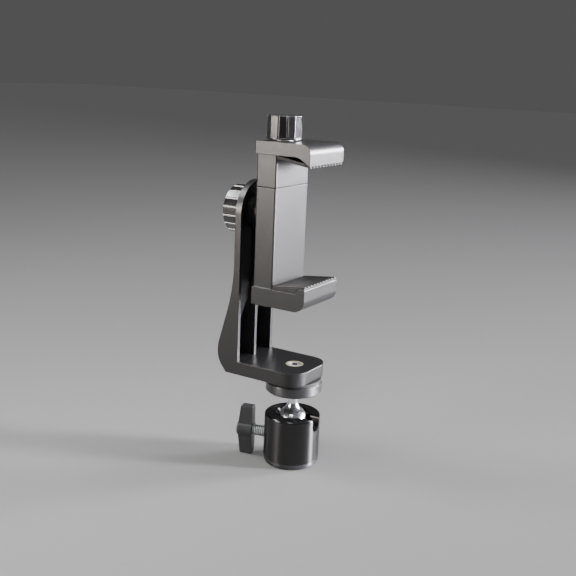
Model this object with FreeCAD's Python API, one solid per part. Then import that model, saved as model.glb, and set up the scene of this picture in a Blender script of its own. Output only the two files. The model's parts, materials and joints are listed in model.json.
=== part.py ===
"""Phone tripod mount: a ball head, an L bracket and a phone clamp closed by a screw.

Lengths are in millimetres. +Z is up, and the origin is the mouth of the tripod socket.
The phone faces -Y, and the arm of the bracket stands behind the clamp at +Y.
"""
import FreeCAD
import Part
import math
import os

# Ball head
socket_radius = 2.6         # tapped hole for the quarter-inch tripod screw
socket_depth = 8.0
socket_roof = 1.6           # metal above the blind end of the socket
base_radius = 14.3
base_height = 3.0
base_round = 1.7
head_radius = 14.5
head_height = 23.6          # wall of the housing above the base flange
head_bevel = 0.3            # lower edge of the housing, above the base
rim_round = 1.2
ball_radius = 8.0
ball_depth = 4.4            # centre of the ball below the rim
lip_angle = 68.0            # from the upright stem down to the lip that keeps the ball in
mouth_flare = 1.2           # how much wider the mouth is at the rim than at that lip
slot_round = 1.6            # upper corners of the slot that the neck drops into
seat_radius = 3.0
neck_radius = 2.65
neck_fillet = 6.0           # hollow round between the ball and its neck
neck_length = 16.8          # centre of the ball to the underside of the plate
stud_radius = 3.175
stud_drop = 0.2             # end of the stud below the top of the foot
stud_chamfer = 0.4
stud_key_flats = 3.2        # hexagon socket in the end of the stud
stud_key_depth = 1.8

# Lock screw of the ball head
lock_bearing = 105.0        # direction of the screw round the head, from +X towards +Y
lock_drop = 8.7             # screw axis below the centre of the ball
lock_radius = 3.0
lock_shown = 6.7            # bare thread between the housing and the hub
lock_buried = 6.0           # thread held inside the hub
brake_length = 6.8
hub_radius = 4.3
hub_length = 8.6
hub_round = 1.6
wing_span = 26.7
wing_root = 8.0             # thickness of the blades along the screw, at the hub
wing_tip = 6.5
blade_root = 5.6            # breadth of the blades across the screw, at the hub
blade_tip = 4.8
blade_round = 0.6

# Plate on top of the ball
plate_radius = 14.5
plate_thickness = 5.8
plate_bevel = 0.8
disc_thickness = 1.4        # rubber disc between the plate and the bracket
disc_inset = 0.6

# L bracket
bracket_width = 32.4
bracket_wall = 2.0
rib_thickness = 2.0
foot_thickness = 6.9
foot_front = 11.7           # front edge ahead of the ball head's axis
foot_corner = 9.4
foot_skin = 2.2             # floor left above the hollows under the heel
hollow_start = 15.6         # front wall of those hollows behind the axis
hollow_length = 11.0
hollow_corner = 1.0
edge_round = 0.5
arm_front = 24.7            # front of the arm behind the axis
arm_depth = 3.5
heel_depth = 12.5
knee_rise = 38.8            # where the back of the arm starts to lean, above the foot
knee_round = 95.0
heel_rise = 7.0
heel_round = 18.0
heel_tuck = 5.3             # how far the heel draws in towards its lower edge
tuck_rise = 6.6
tuck_round = 12.0
pivot_rise = 76.3           # pivot above the foot
pivot_pad_radius = 9.0
insert_radius = 4.0
insert_flange_radius = 4.5
insert_flange = 1.2

# Pivot between the bracket and the clamp
bolt_radius = 3.0
bolt_head_flats = 10.0
bolt_head_height = 4.0
bolt_reach = 6.6            # thread inside the brass insert of the clamp
washer_radius = 7.5
washer_thickness = 1.0
friction_radius = 8.4
friction_thickness = 1.0
boss_radius = 9.0
pivot_insert_radius = 4.6
pivot_insert_length = 8.0
pivot_knob_radius = 12.7
pivot_knob_height = 9.6
pivot_knob_facets = 18
pivot_knob_turn = -8.0

# Phone clamp
body_front = 5.8            # front face of the clamp body behind the axis
body_width = 30.1
body_depth = 11.4
body_wall = 2.0
body_round = 0.8
body_rise = 14.6            # seam between the body and the sliding block, above the pivot
jaw_drop = 44.0             # underside of the lower jaw below the pivot
jaw_inset = 0.1             # sides of the jaws inside those of the bracket
jaw_reach = 19.0            # body's front face to the front of the lips
jaw_overhang = 0.2          # how far the jaws stand out behind the body
lower_jaw_height = 9.0
lower_jaw_round = 6.0
lower_lip_rise = 2.6
lower_lip_run = 2.2         # slope behind the lower lip
lip_width = 3.4
block_height = 16.0
upper_jaw_height = 6.2
upper_jaw_round = 4.5
upper_lip_drop = 3.6
upper_lip_edge = 0.9
upper_lip_run = 5.6         # slope behind the upper lip
upper_lip_round = 6.0
leg_width = 6.4
leg_length = 40.0
seam_gap = 0.35
cavity_room = 3.0           # free space under the legs and the screw
pad_thickness = 1.0
pad_cover = 0.7             # lower pad above the top of its lip
rib_width = 1.5
rib_height = 0.7
rib_root = 0.2              # how deep a rib is rooted in its strip
rib_pitch = 2.9
pad_margin = 0.3

# Clamp screw
screw_radius = 2.5
screw_below_seam = 42.0
screw_in_knob = 8.0
screw_chamfer = 0.6
nut_flats = 8.0
nut_height = 4.0
nut_below_seam = 3.0
nut_shelf = 4.0             # wall under the nut
nut_wall_width = 11.4
clip_radius = 4.4
clip_thickness = 0.8
clip_groove = 0.5
clip_recess = 2.0
knob_washer_radius = 5.0
knob_washer_thickness = 0.5
knob_radius = 8.8
knob_height = 11.5
knob_facets = 12
knob_turn = 11.0
knob_flange = 0.4           # rim at the foot of the knob, beyond its facets
knob_flange_height = 0.9

# Knob grips
knob_edge = 0.6
groove_radius = 0.55

# Clearances
ball_gap = 0.1
slot_gap = 0.3              # beside the neck when it lies in the slot
thread_gap = 0.05
slip_gap = 0.05             # between pieces that are pressed or screwed together
leg_gap = 0.25
screw_gap = 0.25
clip_gap = 0.3
brake_gap = 0.2
seat_gap = 0.6              # between the brake plug and the ball seat
pad_gap = 0.05
over = 1.0                  # cutters reach this far past a face

# Heights
plug_top = socket_depth + socket_roof
rim_z = base_height + head_height
ball_z = rim_z - ball_depth
plate_z = ball_z + neck_length
plate_top = plate_z + plate_thickness
foot_bottom = plate_top + disc_thickness
foot_top = foot_bottom + foot_thickness
pivot_z = foot_top + pivot_rise
seam_z = pivot_z + body_rise
jaw_bottom = pivot_z - jaw_drop
seat_z = jaw_bottom + lower_jaw_height
jaw_under = seam_z + block_height
jaw_top = jaw_under + upper_jaw_height
stud_top = foot_top - stud_drop

# Widths
bracket_half = bracket_width / 2
jaw_width = bracket_width - 2 * jaw_inset

# Depths behind the axis
arm_back = arm_front + arm_depth
heel_back = arm_front + heel_depth
body_back = body_front + body_depth
clamp_y = body_front + body_depth / 2
jaw_front = body_front - jaw_reach
jaw_back = body_back + jaw_overhang
boss_end = arm_front - friction_thickness
knob_start = arm_back + washer_thickness

# Lock screw stations, outwards from the axis of the ball head
brake_start = seat_radius + seat_gap
screw_start = brake_start + brake_length + slip_gap
hub_start = head_radius + lock_shown

X_AXIS = FreeCAD.Vector(1, 0, 0)
Y_AXIS = FreeCAD.Vector(0, 1, 0)
Z_AXIS = FreeCAD.Vector(0, 0, 1)
LOCK_AXIS = FreeCAD.Rotation(Z_AXIS, lock_bearing).multVec(X_AXIS)


def across(x):
    """Maps a point of a side view to space, in the plane at x."""
    return lambda u, v: FreeCAD.Vector(x, u, v)


def level(z):
    """Maps a point of a plan to space, at height z."""
    return lambda u, v: FreeCAD.Vector(u, v, z)


def facing(y):
    """Maps a point of a front view to space, in the plane at y."""
    return lambda u, v: FreeCAD.Vector(u, y, v)


def rounded(corners, place):
    """Closed wire through corners (u, v) or (u, v, radius), each radius a tangent arc."""
    flat = [FreeCAD.Vector(corner[0], corner[1], 0) for corner in corners]
    stops = []
    for index, corner in enumerate(corners):
        here = flat[index]
        radius = corner[2] if len(corner) > 2 else 0
        if radius == 0:
            stops.append((here, None, here))
            continue
        back = (flat[index - 1] - here).normalize()
        ahead = (flat[(index + 1) % len(flat)] - here).normalize()
        half_angle = back.getAngle(ahead) / 2
        reach = radius / math.tan(half_angle)
        middle = here + (back + ahead).normalize() * (radius / math.sin(half_angle) - radius)
        stops.append((here + back * reach, middle, here + ahead * reach))
    edges = []
    for index, (start, middle, end) in enumerate(stops):
        if middle is not None:
            ends = [place(point.x, point.y) for point in (start, middle, end)]
            edges.append(Part.Arc(*ends).toShape())
        following = stops[(index + 1) % len(stops)][0]
        if (following - end).Length > 1e-6:
            line = Part.LineSegment(place(end.x, end.y), place(following.x, following.y))
            edges.append(line.toShape())
    return Part.Wire(edges)


def prism(corners, place, along):
    """The rounded outline pushed along a vector."""
    return Part.Face(rounded(corners, place)).extrude(along)


def side_prism(corners, width):
    """A side view pushed across the object, centred on it."""
    return prism(corners, across(-width / 2), X_AXIS * width)


def box(x0, x1, y0, y1, z0, z1, corner=0):
    """An upright block, with its standing edges rounded if a corner radius is given."""
    corners = [(x0, y0, corner), (x1, y0, corner), (x1, y1, corner), (x0, y1, corner)]
    return prism(corners, level(z0), Z_AXIS * (z1 - z0))


def turned(steps):
    """A piece turned about Z. A step is (radius, height), or a pair: a point of an arc and its end."""
    edges = []
    here = FreeCAD.Vector(steps[0][0], 0, steps[0][1])
    for step in steps[1:] + steps[:1]:
        if isinstance(step[0], tuple):
            through, end = [FreeCAD.Vector(point[0], 0, point[1]) for point in step]
            edges.append(Part.Arc(here, through, end).toShape())
        else:
            end = FreeCAD.Vector(step[0], 0, step[1])
            edges.append(Part.LineSegment(here, end).toShape())
        here = end
    return Part.Face(Part.Wire(edges)).revolve(FreeCAD.Vector(), Z_AXIS, 360)


def ring(inner, outer, bottom, top, bevel=0):
    """A flat ring about Z, with its outer edges bevelled."""
    if bevel == 0:
        return turned([(inner, bottom), (outer, bottom), (outer, top), (inner, top)])
    return turned([(inner, bottom), (outer - bevel, bottom), (outer, bottom + bevel),
                   (outer, top - bevel), (outer - bevel, top), (inner, top)])


def rod(radius, bottom, top):
    """A plain round bar about Z."""
    return Part.makeCylinder(radius, top - bottom, FreeCAD.Vector(0, 0, bottom))


def polygon(circle_radius, sides, bottom, top):
    """A regular prism about Z, with its corners on a circle and one corner on +X."""
    turns = [2 * math.pi * side / sides for side in range(sides)]
    corners = [(circle_radius * math.cos(turn), circle_radius * math.sin(turn)) for turn in turns]
    return prism(corners, level(bottom), Z_AXIS * (top - bottom))


def hexagon(flats, bottom, top):
    """A hexagonal prism about Z, measured across its flats."""
    return polygon(flats / math.sqrt(3), 6, bottom, top)


def on_pivot(shape, y):
    """A piece built about Z, laid on the pivot so that its height runs back from y."""
    placed = shape.copy()
    start = FreeCAD.Vector(0, y, pivot_z)
    placed.Placement = FreeCAD.Placement(start, FreeCAD.Rotation(Z_AXIS, Y_AXIS))
    return placed


def on_lock(shape):
    """A piece built about Z, laid on the lock screw: its height runs outwards and its X upwards."""
    placed = shape.copy()
    turn = FreeCAD.Rotation(Z_AXIS, LOCK_AXIS.cross(Z_AXIS), LOCK_AXIS, "ZXY")
    placed.Placement = FreeCAD.Placement(FreeCAD.Vector(0, 0, ball_z - lock_drop), turn)
    return placed


def on_clamp(shape, z=0):
    """A piece built about Z, moved to the axis of the clamp screw."""
    placed = shape.copy()
    placed.Placement = FreeCAD.Placement(FreeCAD.Vector(0, clamp_y, z), FreeCAD.Rotation())
    return placed


def one_solid(shape):
    """The single solid of a finished shape, with faces that continue each other joined."""
    return shape.removeSplitter().Solids[0]


def ball_point(angle, radius):
    """The point (radius, height) of a ball of that radius, at an angle from the upright stem."""
    turn = math.radians(angle)
    return (radius * math.sin(turn), ball_z + radius * math.cos(turn))


def bulge(radius):
    """How far the middle of a quarter round lies from both sides of its corner."""
    return radius * (1 - math.sqrt(0.5))


def faceted_knob(radius, height, facets, turn):
    """A moulded knob with flat facets, a narrow groove between them and bevelled ends."""
    knob = ring(0, radius, 0, height, knob_edge).common(polygon(radius, facets, 0, height))
    for facet in range(facets):
        groove = rod(groove_radius, -over, height + over)
        groove.translate(FreeCAD.Vector(radius, 0, 0))
        groove.rotate(FreeCAD.Vector(), Z_AXIS, 360 * facet / facets)
        knob = knob.cut(groove)
    knob.rotate(FreeCAD.Vector(), Z_AXIS, turn)
    return knob


# Ball head pieces

socket_ball = ball_radius + ball_gap
slot_half = neck_radius + slot_gap
lip_radius = socket_ball * math.sin(math.radians(lip_angle))
lip_z = ball_z + socket_ball * math.cos(math.radians(lip_angle))
fillet_r = neck_radius + neck_fillet
fillet_z = math.sqrt((ball_radius + neck_fillet) ** 2 - fillet_r ** 2)


def base_plate():
    """Base disc with a plug that closes the housing from below and holds the tripod socket."""
    plug = socket_ball - slip_gap
    inside = bulge(base_round)
    return turned([(socket_radius, 0), (base_radius - base_round, 0),
                   ((base_radius - inside, inside), (base_radius, base_round)),
                   (base_radius, base_height), (plug, base_height), (plug, plug_top), (0, plug_top),
                   (0, socket_depth), (socket_radius, socket_depth)])


def ball_housing():
    """Turned cup: bored from below for the ball, slotted at the front for the neck to drop into."""
    middle = ball_point((lip_angle + 90) / 2, socket_ball)
    inside = bulge(rim_round)
    cup = turned([(socket_ball, base_height), (head_radius - head_bevel, base_height),
                  (head_radius, base_height + head_bevel), (head_radius, rim_z - rim_round),
                  ((head_radius - inside, rim_z - inside), (head_radius - rim_round, rim_z)),
                  (lip_radius + mouth_flare, rim_z), (lip_radius, lip_z),
                  (middle, (socket_ball, ball_z))])
    slot_bottom = ball_z - slot_half
    flare = slot_half + slot_round
    slot = prism([(-slot_half, slot_bottom, slot_half), (slot_half, slot_bottom, slot_half),
                  (slot_half, rim_z, slot_round), (flare, rim_z), (flare, rim_z + over),
                  (-flare, rim_z + over), (-flare, rim_z), (-slot_half, rim_z, slot_round)],
                 facing(0), -Y_AXIS * (head_radius + over))
    relief_half = ball_radius * fillet_r / (ball_radius + neck_fillet) + slot_gap
    relief_radius = fillet_z - math.sqrt(neck_fillet ** 2 - (neck_fillet - slot_gap / 2) ** 2)
    relief = Part.makeCylinder(relief_radius, 2 * relief_half,
                               FreeCAD.Vector(-relief_half, 0, ball_z), X_AXIS)
    relief = relief.common(box(-relief_half, relief_half, -head_radius, 0,
                               ball_z - relief_half, rim_z + over))
    lock_hole = on_lock(rod(lock_radius + thread_gap, 0, head_radius + over))
    return one_solid(cup.cut([slot, relief, lock_hole]))


def ball_seat():
    """Nylon button under the ball, dished to fit it."""
    edge_z = ball_z - math.sqrt(socket_ball ** 2 - seat_radius ** 2)
    half_angle = math.degrees(math.asin(seat_radius / socket_ball)) / 2
    return turned([(0, plug_top), (seat_radius, plug_top), (seat_radius, edge_z),
                   (ball_point(180 - half_angle, socket_ball), (0, ball_z - socket_ball))])


def ball_stem():
    """Ball, neck and threaded stud, turned from one bar."""
    fillet_angle = math.degrees(math.atan2(fillet_r, fillet_z))
    middle_turn = math.radians(fillet_angle - 90) / 2
    fillet_middle = (fillet_r - neck_fillet * math.cos(middle_turn),
                     ball_z + fillet_z + neck_fillet * math.sin(middle_turn))
    stem = turned([(0, ball_z - ball_radius),
                   ((ball_radius, ball_z), ball_point(fillet_angle, ball_radius)),
                   (fillet_middle, (neck_radius, ball_z + fillet_z)),
                   (neck_radius, plate_z), (stud_radius, plate_z),
                   (stud_radius, stud_top - stud_chamfer), (stud_radius - stud_chamfer, stud_top),
                   (0, stud_top)])
    return one_solid(stem.cut(hexagon(stud_key_flats, stud_top - stud_key_depth, stud_top + over)))


def brake_plug():
    """Nylon plug that the lock screw presses on the ball."""
    plug = on_lock(rod(lock_radius - brake_gap, brake_start, brake_start + brake_length))
    return one_solid(plug.cut(Part.makeSphere(socket_ball, FreeCAD.Vector(0, 0, ball_z))))


def lock_screw():
    """Threaded rod of the lock."""
    return on_lock(rod(lock_radius, screw_start, hub_start + lock_buried))


def lock_wing():
    """Wing handle: a round hub with two blades, flat towards the housing, that taper to their tips."""
    hub_end = hub_start + hub_length
    inside = bulge(hub_round)
    hub = turned([(0, hub_start), (hub_radius, hub_start), (hub_radius, hub_end - hub_round),
                  ((hub_radius - inside, hub_end - inside), (hub_radius - hub_round, hub_end)),
                  (0, hub_end)])
    tip = wing_span / 2
    side = prism([(-tip, hub_start, blade_round), (tip, hub_start, blade_round),
                  (tip, hub_start + wing_tip, blade_round), (0, hub_start + wing_root),
                  (-tip, hub_start + wing_tip, blade_round)],
                 facing(-blade_root), Y_AXIS * (2 * blade_root))
    plan = prism([(-tip, -blade_tip / 2, blade_round), (0, -blade_root / 2),
                  (tip, -blade_tip / 2, blade_round), (tip, blade_tip / 2, blade_round),
                  (0, blade_root / 2), (-tip, blade_tip / 2, blade_round)],
                 level(hub_start - over), Z_AXIS * (hub_length + 2 * over))
    hole = rod(lock_radius + slip_gap, hub_start - over, hub_start + lock_buried + slip_gap)
    return on_lock(one_solid(side.common(plan).fuse(hub).cut(hole)))


def camera_plate():
    """Round plate screwed on the stud."""
    return ring(stud_radius + thread_gap, plate_radius, plate_z, plate_top, plate_bevel)


def plate_disc():
    """Rubber disc that grips the underside of the bracket."""
    return ring(stud_radius + screw_gap, plate_radius - disc_inset, plate_top, foot_bottom)


# Bracket pieces

def arm_outline(inset, bottom):
    """Front view of the arm: straight sides and a round top about the pivot."""
    half = bracket_half - inset
    top = pivot_z + half
    return [(-half, bottom), (half, bottom), (half, top, half), (-half, top, half)]


def back_outline(inset):
    """Corners of the back of the arm in a side view, from its top down to the heel."""
    return [(arm_back - inset, pivot_z + bracket_width),
            (arm_back - inset, foot_top + knee_rise, knee_round),
            (heel_back - inset, foot_top + heel_rise, heel_round)]


def l_bracket():
    """Moulded L: a thick foot and a ribbed arm that is hollow at the front."""
    side = side_prism([(-foot_front, foot_bottom, edge_round), (-foot_front, foot_top, edge_round),
                       (arm_front, foot_top), (arm_front, pivot_z + bracket_width)]
                      + back_outline(0) + [(heel_back, foot_bottom + tuck_rise, tuck_round),
                                           (heel_back - heel_tuck, foot_bottom, edge_round)],
                      bracket_width)
    deep = Y_AXIS * (foot_front + heel_back + 2 * over)
    front = prism(arm_outline(0, foot_bottom - over), facing(-foot_front - over), deep)
    plan = box(-bracket_half, bracket_half, -foot_front, foot_front + 2 * heel_back,
               foot_bottom - over, pivot_z + bracket_width, foot_corner)
    shell = side.common(front).common(plan)

    pocket = side_prism([(arm_front - over, foot_top), (arm_front - over, pivot_z + bracket_width)]
                        + back_outline(bracket_wall) + [(heel_back - bracket_wall, foot_top)],
                        bracket_width)
    pocket = pocket.common(prism(arm_outline(bracket_wall, foot_top), facing(-foot_front - over), deep))
    rib = box(-rib_thickness / 2, rib_thickness / 2, 0, heel_back, foot_bottom, pivot_z)
    pivot_pad = on_pivot(rod(pivot_pad_radius, 0, heel_back), 0)
    pocket = pocket.cut([rib, pivot_pad])

    hollows = [box(min(side * rib_thickness / 2, side * (bracket_half - bracket_wall)),
                   max(side * rib_thickness / 2, side * (bracket_half - bracket_wall)),
                   hollow_start, hollow_start + hollow_length,
                   foot_bottom - over, foot_top - foot_skin, hollow_corner) for side in (-1, 1)]
    bolt_hole = on_pivot(rod(bolt_radius + thread_gap, 0, heel_back), 0)
    insert_hole = rod(insert_radius + slip_gap, foot_bottom - over, foot_top + over)
    flange_seat = rod(insert_flange_radius + slip_gap, foot_top - insert_flange, foot_top + over)
    return one_solid(shell.cut([pocket, bolt_hole, insert_hole, flange_seat] + hollows))


def foot_insert():
    """Flanged brass insert in the foot, screwed down on the stud."""
    bore = stud_radius + thread_gap
    return turned([(bore, foot_bottom), (insert_radius, foot_bottom),
                   (insert_radius, foot_top - insert_flange),
                   (insert_flange_radius, foot_top - insert_flange),
                   (insert_flange_radius, foot_top), (bore, foot_top)])


# Pivot pieces

def rear_washer():
    """Steel washer between the pivot knob and the back of the arm."""
    return on_pivot(ring(bolt_radius + thread_gap, washer_radius, 0, washer_thickness), arm_back)


def pivot_knob():
    """Large faceted knob with a hexagon pocket for the head of its bolt."""
    knob = faceted_knob(pivot_knob_radius, pivot_knob_height, pivot_knob_facets, pivot_knob_turn)
    floor = pivot_knob_height - bolt_head_height - knob_edge
    pocket = hexagon(bolt_head_flats + 2 * slip_gap, floor, pivot_knob_height + over)
    hole = rod(bolt_radius + slip_gap, -over, pivot_knob_height)
    return on_pivot(one_solid(knob.cut([pocket, hole])), knob_start)


def pivot_bolt():
    """Hexagon bolt from the knob through the arm into the clamp."""
    floor = pivot_knob_height - bolt_head_height - knob_edge
    tip = boss_end - bolt_reach - knob_start
    bolt = rod(bolt_radius, tip, floor).fuse(hexagon(bolt_head_flats, floor, floor + bolt_head_height))
    return on_pivot(one_solid(bolt), knob_start)


def friction_washer():
    """Rubber washer between the clamp's boss and the arm."""
    return on_pivot(ring(bolt_radius + thread_gap, friction_radius, 0, friction_thickness), boss_end)


def pivot_insert():
    """Brass insert in the clamp's boss that takes the pivot bolt."""
    start = boss_end - pivot_insert_length
    return on_pivot(ring(bolt_radius + thread_gap, pivot_insert_radius, 0, pivot_insert_length), start)


# Clamp pieces

def body_section(inset, bottom, top, corner):
    """An upright block of the clamp body's section, smaller by an inset all round."""
    half = body_width / 2 - inset
    return box(-half, half, body_front + inset, body_back - inset, bottom, top, corner)


def clamp_body():
    """Moulded housing with the lower jaw, guide channels, a nut wall and the pivot boss."""
    lip_top = seat_z + lower_lip_rise
    lip_inner = jaw_front + lip_width
    jaw = side_prism([(jaw_back, jaw_bottom, edge_round), (jaw_back, seat_z, edge_round),
                      (lip_inner + lower_lip_run, seat_z), (lip_inner, lip_top, edge_round),
                      (jaw_front, lip_top, edge_round), (jaw_front, jaw_bottom, lower_jaw_round)],
                     jaw_width)
    body = body_section(0, jaw_bottom + lower_jaw_height / 2, seam_z, body_round)
    boss = on_pivot(rod(boss_radius, 0, boss_end - clamp_y), clamp_y)
    floor = seam_z - max(leg_length, screw_below_seam) - cavity_room
    cavity = body_section(body_wall, floor, seam_z + over, 0)
    nut_top = seam_z - nut_below_seam
    nut_bottom = nut_top - nut_height
    nut_wall = box(-nut_wall_width / 2, nut_wall_width / 2, body_front, body_back,
                   nut_bottom - nut_shelf, nut_top)
    nut_seat = on_clamp(hexagon(nut_flats + 2 * slip_gap, nut_bottom, nut_top + over))
    screw_way = on_clamp(rod(screw_radius + screw_gap, floor, seam_z))
    insert_hole = on_pivot(rod(pivot_insert_radius + slip_gap, 0, pivot_insert_length + over),
                           boss_end - pivot_insert_length)
    shell = jaw.fuse([body, boss]).cut(cavity.cut(nut_wall))
    return one_solid(shell.cut([nut_seat, screw_way, insert_hole]))


def upper_jaw():
    """Sliding jaw: the lip, the block above the seam and two legs that run in the body."""
    lip_bottom = jaw_under - upper_lip_drop
    lip_inner = jaw_front + upper_lip_edge
    jaw = side_prism([(jaw_back, jaw_under, edge_round), (jaw_back, jaw_top, edge_round),
                      (jaw_front, jaw_top, upper_jaw_round), (jaw_front, lip_bottom),
                      (lip_inner, lip_bottom), (lip_inner + upper_lip_run, jaw_under, upper_lip_round)],
                     jaw_width)
    block_bottom = seam_z + seam_gap
    block = body_section(0, block_bottom, jaw_under + upper_jaw_height / 2, body_round)
    leg_outer = body_width / 2 - body_wall - leg_gap
    legs = [box(min(side * (leg_outer - leg_width), side * leg_outer),
                max(side * (leg_outer - leg_width), side * leg_outer),
                body_front + body_wall + leg_gap, body_back - body_wall - leg_gap,
                seam_z - leg_length, block_bottom + over) for side in (-1, 1)]
    screw_way = on_clamp(rod(screw_radius + screw_gap, block_bottom - over, jaw_top + over))
    recess = on_clamp(rod(clip_radius + clip_gap, block_bottom - over, block_bottom + clip_recess))
    return one_solid(jaw.fuse([block] + legs).cut([screw_way, recess]))


def ribbed_pad(strip, inner, outer, side):
    """Rubber strip of that side view, with ribs along its grip line from inner to outer (y, z).

    side is +1 where the ribs stand up and -1 where they hang down.
    """
    half = jaw_width / 2 - pad_margin
    count = int((2 * half - rib_width) / rib_pitch) + 1
    along = FreeCAD.Vector(0, outer[0] - inner[0], outer[1] - inner[1])
    root = inner[1] - side * rib_root
    crest = inner[1] + side * rib_height
    ribs = []
    for rib in range(count):
        left = (rib - (count - 1) / 2) * rib_pitch - rib_width / 2
        right = left + rib_width
        corners = [(left, root), (left, crest), (right, crest), (right, root)]
        ribs.append(prism(corners, facing(inner[0]), along))
    return one_solid(side_prism(strip, 2 * half).fuse(ribs))


def lower_pad():
    """Wedge-shaped grip strip on the lower jaw, from the foot of the body over the lip."""
    start = body_front - pad_margin
    end = jaw_front + pad_margin
    bottom = seat_z + pad_gap
    lip_top = seat_z + lower_lip_rise + pad_gap
    lip_back = jaw_front + lip_width + pad_margin
    inner = (start, bottom + pad_thickness)
    outer = (end, lip_top + pad_cover)
    strip = [(start, bottom), inner, outer, (end, lip_top), (lip_back, lip_top),
             (lip_back + lower_lip_run, bottom)]
    return ribbed_pad(strip, inner, outer, 1)


def upper_pad():
    """Grip strip that bridges the hollow under the upper jaw, with ribs that run on under the lip."""
    start = body_front - pad_margin
    end = jaw_front + pad_margin
    lip_inner = jaw_front + upper_lip_edge
    inner = (start, jaw_under - pad_gap - pad_thickness)
    lip_grip = jaw_under - upper_lip_drop - pad_gap - rib_root
    slope = (inner[1] - lip_grip) / (start - lip_inner)
    strip_end = lip_inner + upper_lip_run * pad_thickness / upper_lip_drop + pad_margin
    grip_end = inner[1] - slope * (start - strip_end)
    strip = [inner, (start, inner[1] + pad_thickness), (strip_end, grip_end + pad_thickness),
             (strip_end, grip_end)]
    return ribbed_pad(strip, inner, (end, inner[1] - slope * (start - end)), -1)


# Clamp screw pieces

clip_z = seam_z + seam_gap + clip_recess - slip_gap - clip_thickness
knob_z = jaw_top + knob_washer_thickness


def clamp_nut():
    """Hexagon nut held in the body."""
    nut_top = seam_z - nut_below_seam
    nut = hexagon(nut_flats, nut_top - nut_height, nut_top)
    nut = nut.cut(rod(screw_radius + thread_gap, nut_top - nut_height - over, nut_top + over))
    return on_clamp(one_solid(nut))


def clamp_screw():
    """Threaded rod of the clamp, grooved for its retaining clip."""
    tip = seam_z - screw_below_seam
    neck = screw_radius - clip_groove
    return on_clamp(turned([(0, tip), (screw_radius - screw_chamfer, tip),
                            (screw_radius, tip + screw_chamfer), (screw_radius, clip_z - slip_gap),
                            (neck, clip_z - slip_gap), (neck, clip_z + clip_thickness + slip_gap),
                            (screw_radius, clip_z + clip_thickness + slip_gap),
                            (screw_radius, knob_z + screw_in_knob), (0, knob_z + screw_in_knob)]))


def retaining_clip():
    """Open spring clip that ties the screw to the sliding jaw."""
    neck = screw_radius - clip_groove
    clip = ring(neck + slip_gap, clip_radius, clip_z, clip_z + clip_thickness)
    mouth = box(-neck, neck, 0, clip_radius + over, clip_z - over, clip_z + clip_thickness + over)
    return on_clamp(one_solid(clip.cut(mouth)))


def knob_washer():
    """Thin steel washer under the clamp knob."""
    return on_clamp(ring(screw_radius + thread_gap, knob_washer_radius, jaw_top, knob_z))


def clamp_knob():
    """Faceted knob on top of the clamp screw."""
    knob = faceted_knob(knob_radius, knob_height, knob_facets, knob_turn)
    flange = ring(0, knob_radius + knob_flange, 0, knob_flange_height, knob_flange / 2)
    hole = rod(screw_radius + slip_gap, -over, screw_in_knob + slip_gap)
    return on_clamp(one_solid(knob.fuse(flange).cut(hole)), knob_z)


pieces = [base_plate, ball_housing, ball_seat, ball_stem, brake_plug, lock_screw, lock_wing,
          camera_plate, plate_disc, l_bracket, foot_insert,
          rear_washer, pivot_knob, pivot_bolt, friction_washer, pivot_insert,
          clamp_body, clamp_nut, lower_pad, upper_jaw, upper_pad,
          clamp_screw, retaining_clip, knob_washer, clamp_knob]

os.makedirs("parts", exist_ok=True)
for piece in pieces:
    shape = piece()
    shape.exportStep("parts/" + piece.__name__ + ".step")
    print(piece.__name__, len(shape.Solids), shape.isValid(), round(shape.Volume, 1))
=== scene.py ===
# %% [markdown]
# # A phone tripod mount
# A phone clamp stands on an L bracket, and the bracket on a small ball head. The solids come from the
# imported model, so this lesson gives them their looks: softened edges, cut threads, and a finish for each
# material. Lengths are in metres, and sizes given in millimetres are multiplied by MM.

# %% Load the frame
import json
import math

import bpy
import numpy as np
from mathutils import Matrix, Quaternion, Vector


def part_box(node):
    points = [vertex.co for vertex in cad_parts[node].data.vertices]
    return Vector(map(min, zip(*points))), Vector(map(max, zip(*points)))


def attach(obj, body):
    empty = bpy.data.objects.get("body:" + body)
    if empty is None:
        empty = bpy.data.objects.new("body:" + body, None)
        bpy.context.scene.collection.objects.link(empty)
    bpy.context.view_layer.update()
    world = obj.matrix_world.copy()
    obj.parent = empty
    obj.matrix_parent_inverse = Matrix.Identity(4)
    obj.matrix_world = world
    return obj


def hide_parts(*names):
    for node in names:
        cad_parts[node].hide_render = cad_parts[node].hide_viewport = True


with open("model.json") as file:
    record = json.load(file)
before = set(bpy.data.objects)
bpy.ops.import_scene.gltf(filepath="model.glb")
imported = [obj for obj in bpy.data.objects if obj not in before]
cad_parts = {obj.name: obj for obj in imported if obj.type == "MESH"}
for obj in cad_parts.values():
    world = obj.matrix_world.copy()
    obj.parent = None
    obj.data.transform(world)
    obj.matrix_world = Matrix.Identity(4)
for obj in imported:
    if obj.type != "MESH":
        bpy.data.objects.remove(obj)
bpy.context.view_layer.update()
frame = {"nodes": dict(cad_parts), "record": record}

MM = 0.001

# %% [markdown]
# ## The camera
# The photograph looks down a little at the front left corner of the clamp, and its horizon leans. The
# angles below were worked out from points of the ball head, the plate, the foot, the clamp and its knob,
# with the ball head taken as 29 mm across. The lens shift puts the optical axis where that fit has it, a
# little off the middle of the picture.

# %% Camera
TARGET = Vector((0, 0, 95 * MM))
VIEW_AZIMUTH = math.radians(-59.26)
VIEW_ELEVATION = math.radians(13.69)
VIEW_DISTANCE = 438.1 * MM
VIEW_ROLL = math.radians(2.54)
SENSOR_WIDTH = 36.0
LENS_LENGTH = 54.43
LENS_SHIFT = (-0.0176, -0.0059)
NEAR_CLIP = 10 * MM


def direction(azimuth, elevation):
    """Unit vector from the object: azimuth 0 is the front, -Y, and a positive one goes towards +X."""
    flat = math.cos(elevation)
    return Vector((math.sin(azimuth) * flat, -math.cos(azimuth) * flat, math.sin(elevation)))


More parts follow.
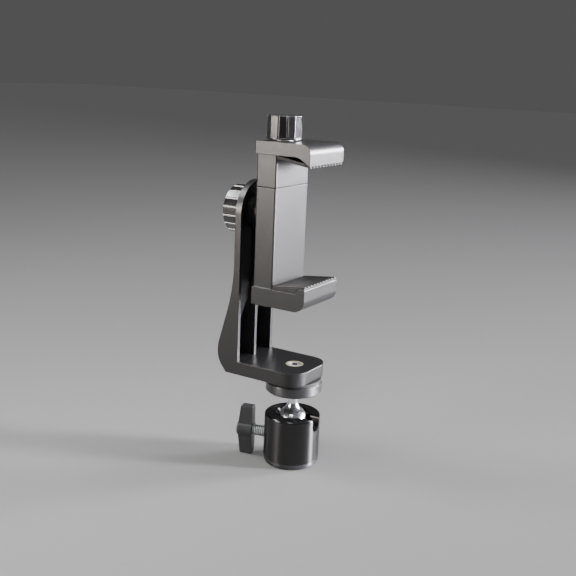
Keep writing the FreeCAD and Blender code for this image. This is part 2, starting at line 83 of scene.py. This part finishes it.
lens = bpy.data.cameras.new("camera")
lens.sensor_width = SENSOR_WIDTH
lens.lens = LENS_LENGTH
lens.shift_x, lens.shift_y = LENS_SHIFT
lens.clip_start = NEAR_CLIP
camera = bpy.data.objects.new("camera", lens)
bpy.context.scene.collection.objects.link(camera)
outwards = direction(VIEW_AZIMUTH, VIEW_ELEVATION)
camera.location = TARGET + outwards * VIEW_DISTANCE
aim = (-outwards).to_track_quat("-Z", "Y")
camera.rotation_mode = "QUATERNION"
camera.rotation_quaternion = aim @ Quaternion((0, 0, 1), VIEW_ROLL)
bpy.context.scene.camera = camera
print("camera at", [round(value / MM) for value in camera.location], "mm")

# %% [markdown]
# ## Helpers
# A colour picked on a screen is an sRGB code, but light adds up linearly, so one function converts it.
# A second function adds a shader node, sets it and links it, which keeps each material short enough to
# read as a recipe.

# %% Colour and node helpers


def linear(code):
    """Linear RGBA of an sRGB hex code: the power 2.4 curve, with its straight foot near black."""
    channels = np.array([int(code[at:at + 2], 16) for at in (1, 3, 5)]) / 255
    curve = np.where(channels <= 0.04045, channels / 12.92, ((channels + 0.055) / 1.055) ** 2.4)
    return (*curve.tolist(), 1.0)


def add(tree, kind, inputs=None, **settings):
    """One new shader node: settings are its properties, inputs are values or sockets to link."""
    made = tree.nodes.new(kind)
    for name, value in settings.items():
        setattr(made, name, value)
    for name, value in (inputs or {}).items():
        if isinstance(value, bpy.types.NodeSocket):
            tree.links.new(value, made.inputs[name])
        else:
            made.inputs[name].default_value = value
    return made


def start_material(name, **sockets):
    """A new material whose Principled shader has the given sockets set, as material, tree and shader."""
    material = bpy.data.materials.new(name)
    material.use_nodes = True
    tree = material.node_tree
    shader = tree.nodes["Principled BSDF"]
    for socket, value in sockets.items():
        shader.inputs[socket.replace("_", " ")].default_value = value
    return material, tree, shader


print("black ABS is", [round(value, 4) for value in linear("#121213")[:3]], "in linear light")

# %% [markdown]
# ## Floor and light
# The floor is a plain pale sheet, lit from above by a broad overhead sheet of light. In the photograph a
# tall strip at the front right draws the bright stripe down the ball head and whitens every face that looks
# at the phone, and a key box beside it adds to the upper jaw. A weak box at the back left turns the sides
# of the clamp grey and fades towards the foot. Three small boxes high up give the bright lines along rims,
# top edges and the screw, and a grey world stands for the rest of the room.

# %% Floor
FLOOR_HALF = 6.0

corners = np.array([(-1, -1, 0), (1, -1, 0), (1, 1, 0), (-1, 1, 0)]) * FLOOR_HALF
floor_mesh = bpy.data.meshes.new("floor")
floor_mesh.from_pydata(corners.tolist(), [], [(0, 1, 2, 3)])
floor = bpy.data.objects.new("floor", floor_mesh)
bpy.context.scene.collection.objects.link(floor)
floor_paint, _, _ = start_material("pale_floor_paint", Base_Color=linear("#808080"), Roughness=0.6)
floor_mesh.materials.append(floor_paint)
print("floor", 2 * FLOOR_HALF, "m square")

# %% Lights
SHEET_STRENGTH = 0.95
SHEET_ANGLE = math.radians(70)


def soft_box(name, tint, azimuth, elevation, distance, size, power, aim_height, spread=180):
    """A rectangular lamp aimed at a height on the axis.

    Angles are in degrees and size is width and height. A narrow spread keeps the beam off the floor.
    """
    light = bpy.data.lights.new(name, "AREA")
    light.color = linear(tint)[:3]
    light.shape = "RECTANGLE"
    light.size, light.size_y = size
    light.energy = power
    light.spread = math.radians(spread)
    holder = bpy.data.objects.new(name, light)
    bpy.context.scene.collection.objects.link(holder)
    away = direction(math.radians(azimuth), math.radians(elevation))
    holder.location = Vector((0, 0, aim_height)) + away * distance
    holder.rotation_euler = (-away).to_track_quat("-Z", "Y").to_euler()
    return holder


# Each row: name, tint, azimuth, elevation, distance, size, power in watts and the height aimed at.
soft_box("strip_box", "#fbf9ff", 27, 2, 2.4, (0.30, 1.05), 160, 60 * MM, spread=90)
soft_box("key_box", "#fbf9ff", 53, 9, 0.8, (0.25, 0.2), 1.2, 175 * MM, spread=30)
soft_box("side_box", "#fff7ef", -121, 9, 0.6, (0.20, 0.20), 0.31, 130 * MM, spread=40)
soft_box("crown_box", "#ffffff", -70, 55, 0.8, (0.2, 0.2), 2.5, 110 * MM)
soft_box("rear_rim_box", "#ffffff", -160, 50, 0.6, (0.15, 0.08), 2.5, 45 * MM)
soft_box("front_rim_box", "#ffffff", 49, 49, 0.6, (0.15, 0.08), 1.0, 45 * MM)
sheet = bpy.data.lights.new("overhead_sheet", "SUN")
sheet.energy = SHEET_STRENGTH
sheet.angle = SHEET_ANGLE
bpy.context.scene.collection.objects.link(bpy.data.objects.new("overhead_sheet", sheet))
world = bpy.data.worlds.new("studio")
world.use_nodes = True
world.node_tree.nodes["Background"].inputs["Color"].default_value = linear("#545454")
bpy.context.scene.world = world
print("lights:", [light.name for light in bpy.data.lights])

# %% [markdown]
# ## Finishes
# Each finish starts from how the real surface was made. A grain that is too fine to see from here is
# drawn a little coarser, so that it still breaks the light as it does in the photograph.

# %% Grain helper
# Noise seldom leaves the range below, so it is stretched from there to the values wanted.
NOISE_LOW, NOISE_HIGH = 0.3, 0.7
BEVEL_SAMPLES = 6


def grain(tree, size, depth, strength, edge):
    """Normal of a fine grain on softened edges.

    Noise of the given size in metres raises the surface by up to depth, and edge is the radius in metres
    of the round that the light sees along every sharp edge.
    """
    place = add(tree, "ShaderNodeTexCoord")
    noise = add(tree, "ShaderNodeTexNoise", {"Vector": place.outputs["Object"], "Scale": 1 / size,
                                             "Detail": 3.0, "Roughness": 0.6})
    soft = add(tree, "ShaderNodeBevel", {"Radius": edge}, samples=BEVEL_SAMPLES)
    bump = add(tree, "ShaderNodeBump", {"Height": noise.outputs["Fac"], "Distance": depth,
                                        "Strength": strength, "Normal": soft.outputs["Normal"]})
    return bump.outputs["Normal"]


def blotches(tree, size, low, high):
    """A value that wanders between low and high over patches of the given size in metres."""
    place = add(tree, "ShaderNodeTexCoord")
    noise = add(tree, "ShaderNodeTexNoise", {"Vector": place.outputs["Object"], "Scale": 1 / size,
                                             "Detail": 2.0})
    spread = add(tree, "ShaderNodeMapRange", {"Value": noise.outputs["Fac"], "From Min": NOISE_LOW,
                                              "From Max": NOISE_HIGH, "To Min": low, "To Max": high})
    return spread.outputs["Result"]


print("grain and blotches are ready")

# %% Moulded ABS
# Black ABS from an eroded steel mould: the mould leaves a fine even grain, so its gloss is broad and grey.
ABS_GRAIN = 0.6 * MM


def moulded_abs():
    material, tree, shader = start_material("black_moulded_abs", Base_Color=linear("#121213"), IOR=1.54)
    tree.links.new(blotches(tree, 1.3 * MM, 0.33, 0.42), shader.inputs["Roughness"])
    tree.links.new(grain(tree, ABS_GRAIN, 0.06 * MM, 0.6, 0.4 * MM), shader.inputs["Normal"])
    return material


abs_black = moulded_abs()
print(abs_black.name, "grain", ABS_GRAIN / MM, "mm")

# %% Polished ABS
# The knobs come from a polished mould: near black, with clear reflections along their flats. A clear lacquer
# adds a second, sharper reflection.


def polished_abs():
    material, tree, shader = start_material("black_polished_abs", Base_Color=linear("#121213"), IOR=1.54,
                                            Coat_Weight=0.8, Coat_Roughness=0.1, Coat_IOR=1.6)
    tree.links.new(blotches(tree, 5 * MM, 0.15, 0.22), shader.inputs["Roughness"])
    tree.links.new(grain(tree, 2.5 * MM, 0.02 * MM, 0.12, 0.2 * MM), shader.inputs["Normal"])
    return material


abs_gloss = polished_abs()
print(abs_gloss.name)

# %% Glass-filled nylon
# The wing is stiffer nylon: a dark warm grey with a silky surface.


def wing_nylon():
    material, tree, shader = start_material("grey_filled_nylon", Base_Color=linear("#2b2c2e"), IOR=1.53)
    tree.links.new(blotches(tree, 4 * MM, 0.29, 0.36), shader.inputs["Roughness"])
    tree.links.new(grain(tree, 0.5 * MM, 0.01 * MM, 0.15, 0.4 * MM), shader.inputs["Normal"])
    return material


nylon_grey = wing_nylon()
print(nylon_grey.name)

# %% Turned and anodised aluminium
# A lathe leaves fine rings about the axis. Black dye and sealing give the housing a deep gloss, while its
# base and the plate are left satin and show more of the rings. The rounded rim is the most polished.
HOUSING_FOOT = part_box("ball_housing")[0][2]
RIM_HEIGHT = 1.6 * MM
RIM_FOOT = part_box("ball_housing")[1][2] - RIM_HEIGHT
STEP_HALF = 0.02 * MM


def above(tree, height, low, high):
    """A value that is low below a height in metres and high above it."""
    place = add(tree, "ShaderNodeTexCoord")
    parts = add(tree, "ShaderNodeSeparateXYZ", {"Vector": place.outputs["Object"]})
    step = add(tree, "ShaderNodeMapRange", {"Value": parts.outputs["Z"], "From Min": height - STEP_HALF,
                                            "From Max": height + STEP_HALF, "To Min": low, "To Max": high})
    return step.outputs["Result"]


def turned_rings(tree, spacing, depth, strength, edge):
    """Normal of lathe rings on softened edges: a noise of the height alone, in bands one spacing wide."""
    place = add(tree, "ShaderNodeTexCoord")
    parts = add(tree, "ShaderNodeSeparateXYZ", {"Vector": place.outputs["Object"]})
    rings = add(tree, "ShaderNodeTexNoise", {"W": parts.outputs["Z"], "Scale": 1 / spacing, "Detail": 2.0},
                noise_dimensions="1D")
    soft = add(tree, "ShaderNodeBevel", {"Radius": edge}, samples=BEVEL_SAMPLES)
    bump = add(tree, "ShaderNodeBump", {"Height": rings.outputs["Fac"], "Distance": depth,
                                        "Strength": strength, "Normal": soft.outputs["Normal"]})
    return bump.outputs["Normal"]


def black_anodised():
    material, tree, shader = start_material("black_anodised_aluminium", IOR=1.5, Anisotropic=0.9,
                                            Anisotropic_Rotation=0.25)
    tone = add(tree, "ShaderNodeMix", {"Factor": above(tree, HOUSING_FOOT, 0.0, 1.0),
                                       "A": linear("#2c2c2e"), "B": linear("#09090a")}, data_type="RGBA")
    tree.links.new(tone.outputs["Result"], shader.inputs["Base Color"])
    around = add(tree, "ShaderNodeTangent", direction_type="RADIAL", axis="Z")
    tree.links.new(around.outputs["Tangent"], shader.inputs["Tangent"])
    wall = add(tree, "ShaderNodeMath", {0: blotches(tree, 6 * MM, 0.29, 0.33),
                                        1: above(tree, HOUSING_FOOT, 0.12, 0.0)}, operation="ADD")
    gloss = add(tree, "ShaderNodeMath", {0: wall.outputs["Value"], 1: above(tree, RIM_FOOT, 0.0, 0.07)},
                operation="SUBTRACT")
    tree.links.new(gloss.outputs["Value"], shader.inputs["Roughness"])
    tree.links.new(turned_rings(tree, 0.5 * MM, 0.01 * MM, 0.15, 0.3 * MM), shader.inputs["Normal"])
    return material


def satin_anodised():
    material, tree, shader = start_material("grey_satin_aluminium", Base_Color=linear("#505052"),
                                            Metallic=0.85, Anisotropic=0.6, Anisotropic_Rotation=0.25)
    around = add(tree, "ShaderNodeTangent", direction_type="RADIAL", axis="Z")
    tree.links.new(around.outputs["Tangent"], shader.inputs["Tangent"])
    tree.links.new(blotches(tree, 3 * MM, 0.34, 0.46), shader.inputs["Roughness"])
    tree.links.new(turned_rings(tree, 0.35 * MM, 0.05 * MM, 0.4, 0.4 * MM), shader.inputs["Normal"])
    return material


head_black = black_anodised()
plate_satin = satin_anodised()
print(head_black.name, plate_satin.name)

# %% Plated steel, chrome and brass
# Chrome mirrors the room with a cool tint, and the stud above the ball is dull where the plate was screwed
# on. The wall inside its hexagon socket is painted dark brown as painted shade.
# Zinc plating is brighter than bare steel, but a little cloudy, and the roots of a thread are painted darker
# as shade. The insert is brass with a pale plating.
STUD_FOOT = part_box("camera_plate")[0][2]
END_SKIN = 0.04 * MM
STUD_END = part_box("ball_stem")[1][2] - END_SKIN
THREAD_DEPTH = "thread_depth"


def chrome_plate():
    material, tree, shader = start_material("chrome_plate")
    # Painted shade: between the plate's underside and the stud's end the socket wall gets a dark brown.
    below_end = above(tree, STUD_END, 1.0, 0.0)
    painted_socket_shade = add(tree, "ShaderNodeMath", {0: above(tree, STUD_FOOT, 0.0, 1.0), 1: below_end},
                 operation="MULTIPLY")
    tone = add(tree, "ShaderNodeMix", {"Factor": painted_socket_shade.outputs["Value"], "A": linear("#e4e6ea"),
                                       "B": linear("#4a443b")}, data_type="RGBA")
    tree.links.new(tone.outputs["Result"], shader.inputs["Base Color"])
    polish = add(tree, "ShaderNodeMath", {0: blotches(tree, 3 * MM, 0.17, 0.24),
                                          1: above(tree, STUD_FOOT, 0.0, 0.35)}, operation="ADD")
    tree.links.new(polish.outputs["Value"], shader.inputs["Roughness"])
    tree.links.new(above(tree, STUD_FOOT, 1.0, 0.8), shader.inputs["Metallic"])
    return material


def zinc_plate():
    material, tree, shader = start_material("zinc_plated_steel", Metallic=0.75)
    # Painted shade: the thread_depth attribute fades the pale crest colour to a dark grey in the thread
    # roots.
    painted_root_shade = add(tree, "ShaderNodeAttribute", attribute_name=THREAD_DEPTH)
    tone = add(tree, "ShaderNodeMix", {"Factor": painted_root_shade.outputs["Fac"], "A": linear("#f8fafc"),
                                       "B": linear("#6a6e72")}, data_type="RGBA")
    tree.links.new(tone.outputs["Result"], shader.inputs["Base Color"])
    tree.links.new(blotches(tree, 1.5 * MM, 0.29, 0.36), shader.inputs["Roughness"])
    return material


def pale_brass():
    material, tree, shader = start_material("pale_plated_brass", Base_Color=linear("#eadfc4"), Metallic=0.8)
    tree.links.new(blotches(tree, 1.5 * MM, 0.34, 0.46), shader.inputs["Roughness"])
    return material


chrome = chrome_plate()
zinc = zinc_plate()
brass = pale_brass()
print(chrome.name, zinc.name, brass.name)

# %% Rubber and nylon
# Moulded rubber is dull and almost black. The nylon inside the head is the natural milky white.


def black_rubber():
    material, tree, shader = start_material("black_moulded_rubber", Base_Color=linear("#171717"), IOR=1.5)
    tree.links.new(blotches(tree, 4 * MM, 0.58, 0.72), shader.inputs["Roughness"])
    tree.links.new(grain(tree, 0.5 * MM, 0.04 * MM, 0.3, 0.25 * MM), shader.inputs["Normal"])
    return material


def milky_nylon():
    material, tree, shader = start_material("natural_nylon", Base_Color=linear("#ded9cb"), IOR=1.53)
    tree.links.new(blotches(tree, 3 * MM, 0.35, 0.5), shader.inputs["Roughness"])
    return material


rubber = black_rubber()
nylon_white = milky_nylon()
print(rubber.name, nylon_white.name)

# %% [markdown]
# ## Dressing the solids
# The record says which material slot each solid has. One table joins a slot to its finish, so a solid and
# whatever replaces it are always painted alike.

# %% Finish of each solid
finishes = {
    "black_abs": abs_black,
    "gloss_abs": abs_gloss,
    "wing_nylon": nylon_grey,
    "black_anodised": head_black,
    "satin_plate": plate_satin,
    "chrome_plate": chrome,
    "zinc_steel": zinc,
    "pale_brass": brass,
    "black_rubber": rubber,
    "white_nylon": nylon_white,
}
slot_of = {row["node"]: row["material_slot"] for row in frame["record"]["subparts"]}
body_of = {node: body for body, nodes in frame["record"]["behaviour"]["bodies"].items() for node in nodes}
for name, solid in frame["nodes"].items():
    solid.data.materials.clear()
    solid.data.materials.append(finishes[slot_of[name]])
print("dressed", len(slot_of), "solids")

# %% [markdown]
# ## Cut threads
# The solids carry plain rods where the real screws have threads. A thread is a surface over two numbers,
# the angle round the axis and the distance along it: its radius depends only on how far a point lies
# from the helix that climbs one pitch a turn. The frame's joints give each axis, and the solids give the
# length, so that the thread fits whatever size the model has.

# %% Thread surface
THREAD_SIDES = 40
STEPS_PER_PITCH = 8
FLANK_GAIN = 1.3
CREST_CUT = 0.15
SHARP_ANGLE = math.radians(50)


def stand_for(piece, node):
    """Puts a piece in the place of a solid: the same body, the same slot and the same finish."""
    piece.data.materials.clear()
    piece.data.materials.append(finishes[slot_of[node]])
    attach(piece, body_of[node])
    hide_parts(node)


def node_points(node):
    """The vertices of a solid in the world, as an array of rows."""
    solid = frame["nodes"][node]
    points = np.empty(3 * len(solid.data.vertices))
    solid.data.vertices.foreach_get("co", points)
    turn = np.array(solid.matrix_world)
    return points.reshape(-1, 3) @ turn[:3, :3].T + turn[:3, 3]


def thread(node, joint, pitch, depth, cut, waist=(0.0, 0.0, 0.0)):
    """A solid rod redrawn with a right-hand thread.

    Along the axis the distance is s and round it the angle is a. The phase s / pitch - a / (2 pi) is the
    same all along the helix, and a triangle wave of it, cut off at crest and root, takes up to depth off
    the radius. The thread lies between the two distances of cut and fades out over one pitch at
    both. Between the first two values of waist the rod is turned down to the third, its radius there. The
    attribute thread_depth is 0 on the crests and 1 in the roots.
    """
    axis = np.array(joint["axis"]) / np.linalg.norm(joint["axis"])
    start = np.array(joint["pos_m"])
    side = np.cross(axis, (1.0, 0.0, 0.0) if abs(axis[0]) < 0.9 else (0.0, 1.0, 0.0))
    side = side / np.linalg.norm(side)
    up = np.cross(axis, side)
    offsets = node_points(node) - start
    along = offsets @ axis
    radius = np.linalg.norm(offsets - np.outer(along, axis), axis=1).max()
    low, high = along.min(), along.max()
    steps = int(round((high - low) / pitch * STEPS_PER_PITCH)) + 1
    s, a = np.meshgrid(np.linspace(low, high, steps), np.arange(THREAD_SIDES) / THREAD_SIDES * 2 * np.pi,
                       indexing="ij")
    phase = (s / pitch - a / (2 * np.pi)) % 1.0
    wave = np.clip(np.abs(2 * phase - 1) * FLANK_GAIN - CREST_CUT, 0, 1)
    fade = np.clip(np.minimum(s - cut[0], cut[1] - s) / pitch, 0, 1)
    cut_in = wave * fade
    r = radius - depth * cut_in
    r = np.where((s > waist[0]) & (s < waist[1]), waist[2], r)
    across = (r * np.cos(a))[..., None] * side + (r * np.sin(a))[..., None] * up
    rings = start + s[..., None] * axis + across
    centres = start + np.array([low, high])[:, None] * axis
    row = np.arange(steps - 1)[:, None] * THREAD_SIDES
    col = np.arange(THREAD_SIDES)[None, :]
    after = (col + 1) % THREAD_SIDES
    quads = np.stack([row + col, row + after, row + THREAD_SIDES + after, row + THREAD_SIDES + col], -1)
    count = steps * THREAD_SIDES
    last = count - THREAD_SIDES
    ring = np.arange(THREAD_SIDES)
    ahead = (ring + 1) % THREAD_SIDES
    bottom = np.stack([np.full(THREAD_SIDES, count), ahead, ring], -1)
    top = np.stack([np.full(THREAD_SIDES, count + 1), last + ring, last + ahead], -1)
    mesh = bpy.data.meshes.new(node + "_threaded")
    mesh.from_pydata(np.concatenate([rings.reshape(-1, 3), centres]).tolist(), [],
                     quads.reshape(-1, 4).tolist() + bottom.tolist() + top.tolist())
    roots = mesh.attributes.new(THREAD_DEPTH, "FLOAT", "POINT")
    roots.data.foreach_set("value", np.concatenate([cut_in.ravel(), [0.0, 0.0]]))
    mesh.shade_smooth()
    mesh.set_sharp_from_angle(angle=SHARP_ANGLE)
    piece = bpy.data.objects.new(node + "_threaded", mesh)
    bpy.context.scene.collection.objects.link(piece)
    stand_for(piece, node)
    return piece


# %% Lock screw
# An M6 thread, by its width on the model's scale. Five or six turns show between the housing and the wing.
M6_PITCH = 1.0 * MM
M6_DEPTH = 0.55 * MM

joint_of = {joint["name"]: joint for joint in frame["record"]["behaviour"]["joints"]}
lock_thread = thread("lock_screw", joint_of["lock_turn"], M6_PITCH, M6_DEPTH, (0.0, 1.0))
print(lock_thread.name, len(lock_thread.data.polygons), "faces")

# %% Clamp screw
# An M5 thread up to the clip that ties the screw to the jaw, and a plain shank from there into the knob.
M5_PITCH = 0.8 * MM
M5_DEPTH = 0.45 * MM
CLIP_SLACK = 0.1 * MM
WAIST_RADIUS = 2.0 * MM

screw_joint = joint_of["clamp_screw_turn"]
clip_low, clip_high = [corner[2] - screw_joint["pos_m"][2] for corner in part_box("retaining_clip")]
clamp_thread = thread("clamp_screw", screw_joint, M5_PITCH, M5_DEPTH, (-1.0, clip_low - CLIP_SLACK),
                      (clip_low - CLIP_SLACK, clip_high + CLIP_SLACK, WAIST_RADIUS))
print(clamp_thread.name, len(clamp_thread.data.polygons), "faces")
